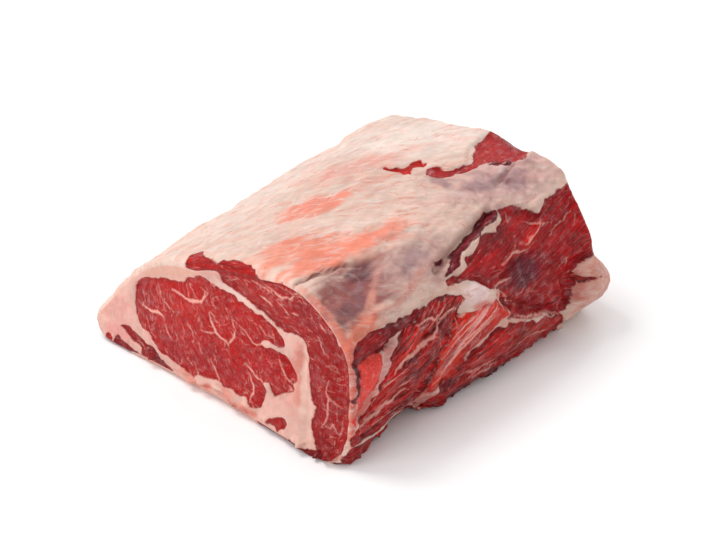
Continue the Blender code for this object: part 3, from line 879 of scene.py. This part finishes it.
        ((214, 106, 96), (-111, 40), (15, 7), 50, 0.85),
        ((218, 138, 128), (-66, 42), (34, 16), 20, 0.7),
        ((222, 150, 140), (-30, 24), (60, 8), 10, 0.75),
        ((226, 158, 148), (0, 46), (24, 12), 20, 0.6),
        ((212, 146, 132), (85, 33), (24, 24), 0, 0.9),
        ((196, 100, 90), (70, 40), (5, 16), 0, 0.7),
        ((198, 112, 100), (92, 18), (16, 5), 0, 0.6),
        ((226, 178, 166), (88, 38), (9, 7), 30, 0.6),
        ((230, 194, 178), (8, 112), (22, 9), 10, 0.7),
        ((190, 104, 90), (-60, 12), (12, 18), 0, 0.9),
        ((228, 184, 168), (20, 320), (140, 24), 0, 0.5),
        ((226, 148, 132), (-124, 440), (8, 90), 0, 0.8),
    ),
}


# One closed mesh from the skin and both cuts

surface = {
    "fatStep": 0.9,    # how far fat stands above the meat beside it, and how wide the step is
    "fatStepWidth": 1.4,
    "fibreRidges": 0.5,
    "ridgeSize": (2.2, 2.4),
    "chunks": 1.5,    # uneven lumps along the fibres of bare muscle
    "chunkSize": (1.6, 6),
    "fatWaves": 0.7,
    "waveSize": (11, 6),
    "strandRise": 0.25,
    "strandEdge": 0.8,
    "cutRidges": 0.4,
    "cutWaves": 0.2,
    "cutEase": 6,    # how far in from the rim the relief of a cut comes to its full height
    "bulgeReach": 0.35,    # the same for the bulge, as a share of the cut's height
    "rimMargin": 0.6,    # how far the first places inside keep from the rim, in gaps
    "rimPull": 3,    # how much more the nearest places of the rim count
}


def cutGrid(rim, gap):    # places inside a rim, and the triangles that join them and the rim
    low, high = rim.min(axis=0), rim.max(axis=0)
    rows = np.arange(low[1], high[1], gap * math.sqrt(0.75))
    across = np.arange(low[0], high[0], gap)
    x = (across[None, :] + (np.arange(len(rows)) % 2)[:, None] * gap / 2).ravel()
    z = np.repeat(rows, len(across))
    depth = depthInside(x, z, [tuple(p) for p in rim])
    clear = depth > surface["rimMargin"] * gap
    inner = np.column_stack([x, z])[clear]
    points = [Vector(p) for p in np.concatenate([rim, inner])]
    edges = [(k, (k + 1) % len(rim)) for k in range(len(rim))]
    found = delaunay_2d_cdt(points, edges, [], 1, 1e-7)
    return inner, depth[clear], [tuple(face) for face in found[2]]


def heightAlong(rim, inner):    # y of the places inside, from the rim's
    y = np.empty(len(inner))
    batch = 4000    # places at a time, to spare memory
    for k in range(0, len(inner), batch):
        x, z = inner[k:k + batch].T
        distance = np.hypot(x[:, None] - rim[:, 0], z[:, None] - rim[:, 2])
        closeness = 1 / (distance + 1e-6) ** surface["rimPull"]
        y[k:k + batch] = (closeness * rim[:, 1]).sum(axis=1) / closeness.sum(axis=1)
    return y


# fine relief of fibres, sinews and fat edges, in mm
def fleshRelief(marks, p, q, ridges, waves, seed):
    meat = eased(marks["meatDepth"] / surface["fatStepWidth"] + 0.5)
    along, across = marks["fibrePlace"][..., 0], marks["fibrePlace"][..., 1]
    contrast = marks["fibreContrast"]
    fine = layeredNoise(along, across, surface["ridgeSize"], seed)
    lumpy = layeredNoise(along, across, surface["chunkSize"], seed + seeds["chunks"], 2)
    height = meat * (ridges * np.minimum(contrast, 1) * fine - surface["fatStep"])
    height += meat * contrast ** 2 * surface["chunks"] * lumpy
    height += (1 - meat) * waves * layeredNoise(p, q, surface["waveSize"], seed + seeds["waves"])
    return height + surface["strandRise"] * meat * eased(marks["strandDepth"] / surface["strandEdge"] + 0.5)


def raggedBits(bits, p, q, fromEdge, seed):    # bits that only stand out, and fade away from an edge
    standing = np.maximum(layeredNoise(p, q, bits["size"], seed), 0)
    return bits["rise"] * (standing * eased(bits["reach"] - fromEdge / bits["fade"]))


def skinRise(skinMarks):
    height = skinHeight(skinRelief, skinY, skinRound)
    ridges, waves = surface["fibreRidges"], surface["fatWaves"]
    height += fleshRelief(skinMarks, skinY, skinRound, ridges, waves, seeds["skinRelief"])
    bits = skinRelief["footBits"]
    fromFoot = np.abs(skinRound - bits["middle"])
    return height + raggedBits(bits, skinY, skinRound, fromFoot, seeds["skinBits"])


def cutRise(flat, inner, depth, bulge, innerMarks, seed):    # how far the places of a cut stand out
    rise = bulge * eased(depth / (surface["bulgeReach"] * np.ptp(flat[:, 1])))
    relief = reliefHeight(*inner.T, cutFace["furrows"], cutFace["lumps"])
    ridges, waves = surface["cutRidges"], surface["cutWaves"]
    relief += fleshRelief(innerMarks, *inner.T, ridges, waves, seed + seeds["cutRelief"])
    rise += relief * eased(depth / surface["cutEase"])
    bits = cutFace["footBits"]
    raggedRise = raggedBits(bits, *inner.T, inner[:, 1], seed + seeds["cutBits"])
    return rise + raggedRise * eased(depth / bits["rimEase"])


def closedRoast():
    n = len(roundAt)
    skinMarks = markings(skin, skinY, skinRound, seeds["skin"])
    height = skinRise(skinMarks)
    rings = plainSkin + surfaceNormals(plainSkin) * (height * reliefShare[:, None])[:, :, None]
    print("skin marked and raised")
    points = [rings.reshape(-1, 3)]
    marks = {name: [values.reshape((-1,) + values.shape[2:])] for name, values in skinMarks.items()}
    count = rings.shape[0] * n
    corner = np.arange(count).reshape(rings.shape[0], n)
    ahead = np.roll(corner, -1, axis=1)
    squares = np.stack([corner[:-1], corner[1:], ahead[1:], ahead[:-1]], axis=-1)
    faces = squares.reshape(-1, 4).tolist()
    for rim, first, gap, bulge, wayOut, seed in (
        (rings[0], 0, roastForm["frontCutGap"], roastForm["frontBulge"], -1, seeds["frontCut"]),
        (rings[-1], count - n, roastForm["backCutGap"], roastForm["backBulge"], 1, seeds["backCut"]),
    ):
        flat = rim[:, [0, 2]]
        inner, depth, triangles = cutGrid(flat, gap)
        cutMarks = markings(cutFace, *np.concatenate([flat, inner]).T, seed)
        for name, values in cutMarks.items():
            marks[name][0][first:first + n] = values[:n]
            marks[name].append(values[n:])
        innerMarks = {name: values[n:] for name, values in cutMarks.items()}
        rise = cutRise(flat, inner, depth, bulge, innerMarks, seed)
        points.append(np.column_stack([inner[:, 0], heightAlong(rim, inner) + wayOut * rise, inner[:, 1]]))
        start = sum(len(p) for p in points[:-1]) - n
        for face in triangles:
            a, b, c = (first + k if k < n else start + k for k in face)
            faces.append((a, b, c) if wayOut < 0 else (a, c, b))
        print("cut", len(inner), "places")
    vertices = np.concatenate(points) + roastForm["centreShift"]
    vertices[:, 2] = np.maximum(vertices[:, 2], 0)
    return vertices * mm, faces, {name: np.concatenate(values) for name, values in marks.items()}


def makeRoast():
    vertices, faces, marks = closedRoast()
    mesh = bpy.data.meshes.new("ribRoast")
    mesh.from_pydata(vertices.tolist(), [], faces)
    for name, values in marks.items():
        kind = "FLOAT" if values.ndim == 1 else "FLOAT_VECTOR"
        if name == "fibrePlace":
            values = np.column_stack([values, np.zeros(len(values))])
        layer = mesh.attributes.new(name, kind, "POINT")
        layer.data.foreach_set("value" if kind == "FLOAT" else "vector", values.astype(np.float32).ravel())
    mesh.shade_smooth()
    roast = bpy.data.objects.new("ribRoast", mesh)
    bpy.context.collection.objects.link(roast)
    print("roast", len(vertices), "points", sum(len(face) - 2 for face in faces), "triangles")
    return roast


roast = makeRoast()
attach(roast, "root")
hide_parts("rib_roast")


# The flesh: one finish for meat, fat, sinew and silverskin, told apart by the marks

flesh = {
    "strandShade": (246, 172, 158),
    "fleckShade": (214, 120, 112),
    "bundleShade": (120, 26, 30),    # between the bundles of fibres on the cuts
    # painted shadow colour, laid in the creases and along the meat beside the fat's edge
    "paintedCreaseShadow": (98, 12, 20),
    "fatVeinShade": (228, 144, 126),
    "fatPaleShade": (240, 222, 212),
    "bloodShade": (204, 104, 92),
    "sinewShade": (250, 236, 228),
    "silverShade": (130, 84, 90),
    "darker": 0.81,    # all of the colours together, for the strong light
    "meatValue": 1.06,
    "meatSaturation": 1.2,
    "borderSoftness": 0.45,    # mm
    "borderRaggedness": 1.4,
    "strandRaggedness": 0.45,    # as a share of the border's
    "bundleScale": 620,
    "bundlesFade": 1.2,    # the contrast of the fibres at which the bundles are gone
    "creaseShare": 0.8,
    "threadsBroken": 0.25,    # how far strong fibres thin the broken threads, and keep them whole
    "threadsWhole": 0.5,
    "streaksOffSilver": 0.7,
    "fatStreakTurn": 33,    # degrees that the fat's streaks lie off the length of the roast
    "fatStreakStretch": (1, 0.26, 1),
    "meatRoughness": 0.32,
    "fatRoughness": 0.47,
    "silverGloss": 0.1,
    "wetFat": 0.3,    # how wet fat is beside meat
    "coatRoughness": 0.1,
    "refraction": 1.38,
    "specular": 0.22,
    "softShare": 0.2,    # light that spreads under the surface, how far in red, green and blue, in metres
    "softColours": (1, 0.35, 0.22),
    "softReach": 0.0025,
    "bumpStrength": 0.6,
    "bumpDistance": 0.0011,
    "grainBump": 0.35,
    "patchBump": 0.5,
    "strandBump": 0.25,
    "sinewBump": 0.2,
    "creaseBump": 0.5,
}

# noises as scale, detail and bend; thin wandering lines have their width too
grains = {
    "fibres": (0.8, 3, 0.4),
    "fineFibres": (2.2, 2, 0),
    "grain": (1100, 3, 0),
    "patches": (160, 3, 0),
    "broad": (42, 2, 0),
    "border": (420, 3, 0),
    "gaps": (380, 2, 0),
    "pinkStreaks": (120, 8, 1),
    "paleStreaks": (300, 6, 0.6),
    "mottles": (110, 5, 0.6),
    "wetSpots": (230, 3, 0),
    "meatThreads": (0.42, 3, 0.3, 0.028),
    "creases": (0.3, 3, 0.5, 0.03),
    "veins": (70, 4, 1.2, 0.018),
    "sinews": (62, 3, 0.5, 0.02),
}

# where each grain starts and ends, and how strong it is there
strengths = {
    "strand": (-0.35, 0.9, 0, 1),
    "fibreValue": (0.36, 0.64, -0.62, 0.5),
    "uneven": (0.35, 0.65, -0.22, 0.18),
    "paleFibres": (0.54, 0.74, 0, 0.6),
    "meatThreads": (0.42, 0.62, 0, 0.6),
    "gaps": (0.46, 0.6, 0, 1),
    "bundles": (0.02, 0.2, 0.35, 0),
    # painted shadow: how dark the meat is close to the fat's edge
    "paintedShadowUnderFat": (0.4, 2.4, 0.55, 0),
    "fatPatches": (0.3, 0.7, 0.93, 1.05),
    "fatBroad": (0.3, 0.7, 0.95, 1.04),
    "pinkStreaks": (0.46, 0.72, 0, 0.42),
    "paleStreaks": (0.48, 0.72, 0, 0.4),
    "veins": (0.4, 0.6, 0.1, 0.5),
    "sinews": (0.35, 0.65, 0.34, 0.03),
    "mottles": (0.42, 0.7, 0, 0.5),
    "roughPatches": (0.3, 0.7, -0.07, 0.09),
    "wetSpots": (0.5, 0.62, 0.02, 0.45),
    "fibreBump": (0.2, 0.8, 0, 0.8),
}


def addNode(tree, kind, sockets=(), **settings):    # sockets take a value, or another node's output
    node = tree.nodes.new("ShaderNode" + kind)
    for name, value in settings.items():
        setattr(node, name, value)
    for name, value in dict(sockets).items():
        if isinstance(value, bpy.types.NodeSocket):
            tree.links.new(value, node.inputs[name])
        else:
            node.inputs[name].default_value = value
    return node


def opaque(shade):
    return (*linear(shade), 1)


def makeFlesh():
    material = bpy.data.materials.new("rawBeef")
    material.use_nodes = True
    tree = material.node_tree
    tree.nodes.clear()

    def mark(name, output="Fac"):
        return addNode(tree, "Attribute", attribute_name=name).outputs[output]

    def noise(vector, scale, detail, bend):
        sockets = {"Vector": vector, "Scale": scale, "Detail": detail, "Distortion": bend}
        return addNode(tree, "TexNoise", sockets).outputs[0]

    def calculate(operation, a, b):
        return addNode(tree, "Math", {0: a, 1: b}, operation=operation).outputs[0]

    def plus(a, b):
        return calculate("ADD", a, b)

    def minus(a, b):
        return calculate("SUBTRACT", a, b)

    def times(a, b):
        return calculate("MULTIPLY", a, b)

    def spread(value, low, high, newLow, newHigh):
        sockets = {"Value": value, "From Min": low, "From Max": high, "To Min": newLow, "To Max": newHigh}
        return addNode(tree, "MapRange", sockets, interpolation_type="SMOOTHSTEP").outputs[0]

    def strong(value, name):
        return spread(value, *strengths[name])

    def blend(share, a, b, how="MIX"):
        node = addNode(tree, "Mix", data_type="RGBA", blend_type=how)
        for socket, value in ((node.inputs[0], share), (node.inputs[6], a), (node.inputs[7], b)):
            if isinstance(value, bpy.types.NodeSocket):
                tree.links.new(value, socket)
            else:
                socket.default_value = value
        return node.outputs[2]

    def layer(share, under, shadeName):    # one of the flesh's shades over a colour
        return blend(share, under, opaque(flesh[shadeName]))

    def threads(vector, scale, detail, bend, width):    # thin wandering lines
        off = minus(noise(vector, scale, detail, bend), 0.5)
        return spread(calculate("ABSOLUTE", off, 0), 0, width, 1, 0)

    place = addNode(tree, "TexCoord").outputs["Object"]
    fibrePlace = mark("fibrePlace", "Vector")
    fibres = noise(fibrePlace, *grains["fibres"])
    fineFibres = noise(fibrePlace, *grains["fineFibres"])
    grain = noise(place, *grains["grain"])
    patches = noise(place, *grains["patches"])
    broad = noise(place, *grains["broad"])

    edge = times(minus(noise(place, *grains["border"]), 0.5), flesh["borderRaggedness"])
    soft = flesh["borderSoftness"]
    meatShare = spread(plus(mark("meatDepth"), edge), -soft, soft, 0, 1)
    strandEdge = times(edge, flesh["strandRaggedness"])
    strandShare = strong(plus(mark("strandDepth"), strandEdge), "strand")
    silver = mark("silverShare")
    contrast = mark("fibreContrast")

    # meat: its own shade, pale fibres and threads, painted shade in dark creases, and painted shadow under
    # the fat's edge
    meatValue = times(strong(fibres, "fibreValue"), contrast)
    uneven = times(strong(broad, "uneven"), contrast)
    meatValue = times(plus(meatValue, flesh["meatValue"]), plus(uneven, 1))
    meatShade = mark("meatShade", "Color")
    sockets = {"Value": meatValue, "Saturation": flesh["meatSaturation"], "Color": meatShade}
    meat = addNode(tree, "HueSaturation", sockets).outputs[0]
    meat = layer(times(strong(fineFibres, "paleFibres"), contrast), meat, "fleckShade")
    meatThreads = times(threads(fibrePlace, *grains["meatThreads"]), strong(patches, "meatThreads"))
    gaps = strong(noise(place, *grains["gaps"]), "gaps")
    broken = minus(gaps, times(contrast, flesh["threadsBroken"]))
    unbroken = calculate("MAXIMUM", times(contrast, flesh["threadsWhole"]), broken)
    meat = layer(times(meatThreads, unbroken), meat, "strandShade")
    sockets = {"Vector": place, "Scale": flesh["bundleScale"]}
    bundles = addNode(tree, "TexVoronoi", sockets, feature="DISTANCE_TO_EDGE").outputs["Distance"]
    between = times(strong(bundles, "bundles"), minus(flesh["bundlesFade"], contrast))
    meat = layer(between, meat, "bundleShade")
    # painted shade: the creases, which the bump also sinks, are darkened in colour
    creases = times(threads(fibrePlace, *grains["creases"]), times(contrast, flesh["creaseShare"]))
    meat = layer(creases, meat, "paintedCreaseShadow")
    # painted shadow: meat darkened close to the fat's edge
    meat = layer(times(strong(mark("meatDepth"), "paintedShadowUnderFat"), contrast), meat, "paintedCreaseShadow")

    # fat: its own shade, streaks, veins, and sinews in the silverskin
    fatValue = times(strong(patches, "fatPatches"), strong(broad, "fatBroad"))
    fat = addNode(tree, "HueSaturation", {"Value": fatValue, "Color": mark("fatShade", "Color")}).outputs[0]
    sockets = {"Vector": place, "Angle": math.radians(flesh["fatStreakTurn"])}
    turned = addNode(tree, "VectorRotate", sockets).outputs[0]
    sockets = {0: turned, 1: flesh["fatStreakStretch"]}
    lengthwise = addNode(tree, "VectorMath", sockets, operation="MULTIPLY").outputs[0]
    offSilver = minus(1, times(silver, flesh["streaksOffSilver"]))
    onSkin = times(mark("streakShare"), offSilver)
    pinkStreaks = times(strong(noise(lengthwise, *grains["pinkStreaks"]), "pinkStreaks"), onSkin)
    paleStreaks = times(strong(noise(lengthwise, *grains["paleStreaks"]), "paleStreaks"), onSkin)
    veins = times(threads(lengthwise, *grains["veins"]), strong(patches, "veins"))
    sinews = times(threads(lengthwise, *grains["sinews"]), strong(patches, "sinews"))
    sinews = times(sinews, onSkin)
    fat = layer(pinkStreaks, fat, "fatVeinShade")
    fat = layer(paleStreaks, fat, "fatPaleShade")
    fat = layer(times(strong(noise(place, *grains["mottles"]), "mottles"), silver), fat, "silverShade")
    fat = layer(times(veins, onSkin), fat, "bloodShade")
    fat = layer(sinews, fat, "sinewShade")
    colour = blend(meatShare, fat, meat)
    strandOnMeat = times(strandShare, meatShare)
    colour = layer(strandOnMeat, colour, "strandShade")
    colour = blend(1, colour, (*(flesh["darker"],) * 3, 1), "MULTIPLY")

    rough = spread(meatShare, 0, 1, flesh["fatRoughness"], flesh["meatRoughness"])
    rough = plus(rough, strong(patches, "roughPatches"))
    rough = minus(rough, times(silver, flesh["silverGloss"]))
    wet = times(strong(noise(place, *grains["wetSpots"]), "wetSpots"), plus(meatShare, flesh["wetFat"]))
    height = times(strong(fibres, "fibreBump"), times(meatShare, contrast))
    height = plus(height, times(grain, flesh["grainBump"]))
    height = plus(height, times(patches, flesh["patchBump"]))
    height = plus(height, times(strandOnMeat, flesh["strandBump"]))
    height = plus(height, times(sinews, flesh["sinewBump"]))
    height = minus(height, times(times(creases, meatShare), flesh["creaseBump"]))
    sockets = {"Strength": flesh["bumpStrength"], "Distance": flesh["bumpDistance"], "Height": height}
    bump = addNode(tree, "Bump", sockets).outputs[0]
    shader = addNode(tree, "BsdfPrincipled", {
        "Base Color": colour,
        "Roughness": rough,
        "IOR": flesh["refraction"],
        "Specular IOR Level": flesh["specular"],
        "Subsurface Weight": flesh["softShare"],
        "Subsurface Radius": flesh["softColours"],
        "Subsurface Scale": flesh["softReach"],
        "Coat Weight": wet,
        "Coat Roughness": flesh["coatRoughness"],
        "Normal": bump,
    })
    output = addNode(tree, "OutputMaterial", {"Surface": shader.outputs[0]})
    output.is_active_output = True
    return material


roast.data.materials.append(makeFlesh())
print("flesh finished")


# Floor, light and camera

studio = {
    "floorShade": (250, 250, 250),
    "floorSize": 8,
    "floorRoughness": 0.8,
    "floorSpecular": 0.1,
    "worldLight": 0.72,
    "areas": (    # place, size, power
        ((-0.9, -0.3, 1.5), 0.8, 14.4),
        ((-0.4, -1.6, 0.8), 1.0, 9.6),
        ((-0.2, 1.3, 1.5), 1.2, 7.8),
    ),
    "lens": 135,
    "sensor": 36,
    "cameraTurn": 42.6,    # degrees round from straight on
    "cameraLift": 32,
    "cameraDistance": 1.607,
    "cameraAim": (0.0136, -0.0132, 0.05),
}


def makeFloor():
    half = studio["floorSize"] / 2
    mesh = bpy.data.meshes.new("floor")
    corners = [(-half, -half, 0), (half, -half, 0), (half, half, 0), (-half, half, 0)]
    mesh.from_pydata(corners, [], [(0, 1, 2, 3)])
    floor = bpy.data.objects.new("floor", mesh)
    bpy.context.collection.objects.link(floor)
    material = bpy.data.materials.new("paperFloor")
    material.use_nodes = True
    shader = material.node_tree.nodes["Principled BSDF"]
    shader.inputs["Base Color"].default_value = opaque(studio["floorShade"])
    shader.inputs["Roughness"].default_value = studio["floorRoughness"]
    shader.inputs["Specular IOR Level"].default_value = studio["floorSpecular"]
    mesh.materials.append(material)


def makeLights():
    world = bpy.data.worlds.new("studio")
    world.use_nodes = True
    background = world.node_tree.nodes["Background"]
    background.inputs["Color"].default_value = (1, 1, 1, 1)
    background.inputs["Strength"].default_value = studio["worldLight"]
    bpy.context.scene.world = world
    aim = Vector(studio["cameraAim"])
    for k, (place, size, power) in enumerate(studio["areas"]):
        light = bpy.data.lights.new(f"softBox{k}", "AREA")
        light.size = size
        light.energy = power
        lamp = bpy.data.objects.new(light.name, light)
        lamp.location = place
        lamp.rotation_euler = (aim - Vector(place)).to_track_quat("-Z", "Y").to_euler()
        bpy.context.collection.objects.link(lamp)


def makeCamera():
    turn, lift = math.radians(studio["cameraTurn"]), math.radians(studio["cameraLift"])
    aim = Vector(studio["cameraAim"])
    level = math.cos(lift)
    away = Vector((math.sin(turn) * level, -math.cos(turn) * level, math.sin(lift)))
    data = bpy.data.cameras.new("camera")
    data.lens = studio["lens"]
    data.sensor_width = studio["sensor"]
    camera = bpy.data.objects.new("camera", data)
    camera.location = aim + away * studio["cameraDistance"]
    camera.rotation_euler = (-away).to_track_quat("-Z", "Y").to_euler()
    bpy.context.collection.objects.link(camera)
    bpy.context.scene.camera = camera


makeFloor()
makeLights()
makeCamera()
bpy.context.scene.view_settings.view_transform = "Standard"
print("studio ready")
